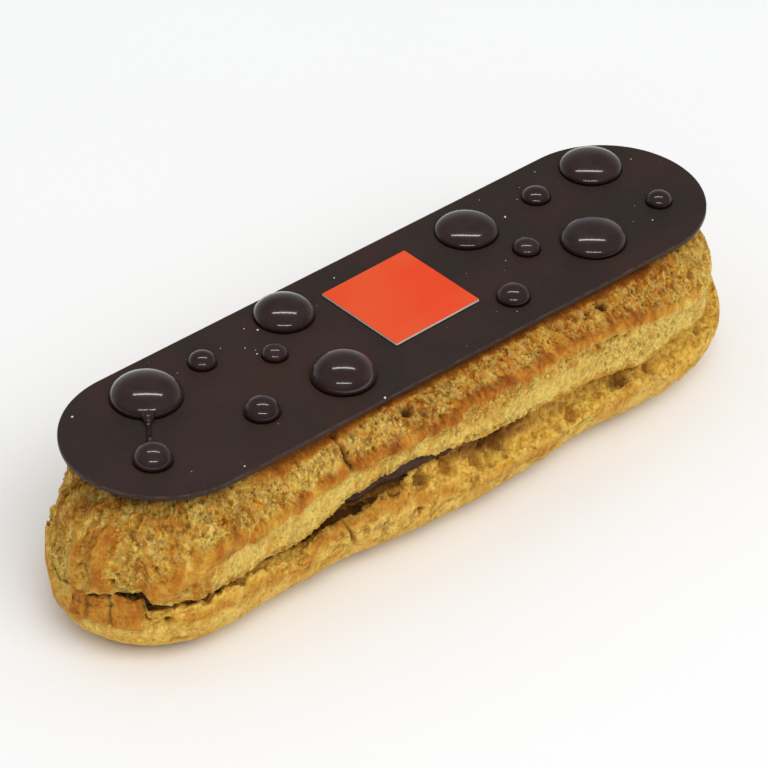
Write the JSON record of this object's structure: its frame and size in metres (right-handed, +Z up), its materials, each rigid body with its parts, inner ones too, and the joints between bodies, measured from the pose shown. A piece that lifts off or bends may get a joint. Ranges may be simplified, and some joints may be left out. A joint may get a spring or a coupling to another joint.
{
  "type": "chocolate eclair",
  "caption": "Chocolate eclair: split choux shell with chocolate cream between its halves, under a dark chocolate plate with glossy drops and a small orange card.",
  "frame": {"origin": "middle of the bounding box's base: the flat underside of the choux base, on the surface it rests on", "axes": "+X along the eclair's length, +Y across it towards the closed long side, +Z up; the open side of the split faces -Y"},
  "size_m": [0.1504, 0.0484, 0.0374],
  "materials": {
    "choux_crust": "browned choux crust, matte and porous, with orange-brown ridges",
    "choux_crumb": "paler golden choux, smooth outside and torn at the split",
    "chocolate_cream": "soft dark chocolate cream, satin",
    "dark_chocolate": "satin dark chocolate sheet",
    "glossy_chocolate": "glossy dark chocolate glaze",
    "orange_card": "thin white card with a smooth orange face"
  },
  "bodies": {
    "root": {"choux_base": "choux_crumb", "filling": "chocolate_cream", "choux_top": "choux_crust", "chocolate_plate": "dark_chocolate", "tag": "orange_card", "drop_01": "glossy_chocolate", "drop_02": "glossy_chocolate", "drop_03": "glossy_chocolate", "drop_04": "glossy_chocolate", "drop_05": "glossy_chocolate", "drop_06": "glossy_chocolate", "drop_07": "glossy_chocolate", "drop_08": "glossy_chocolate", "drop_09": "glossy_chocolate", "drop_10": "glossy_chocolate", "drop_11": "glossy_chocolate", "drop_12": "glossy_chocolate", "drop_13": "glossy_chocolate", "drop_14": "glossy_chocolate"}
  },
  "joints": []
}
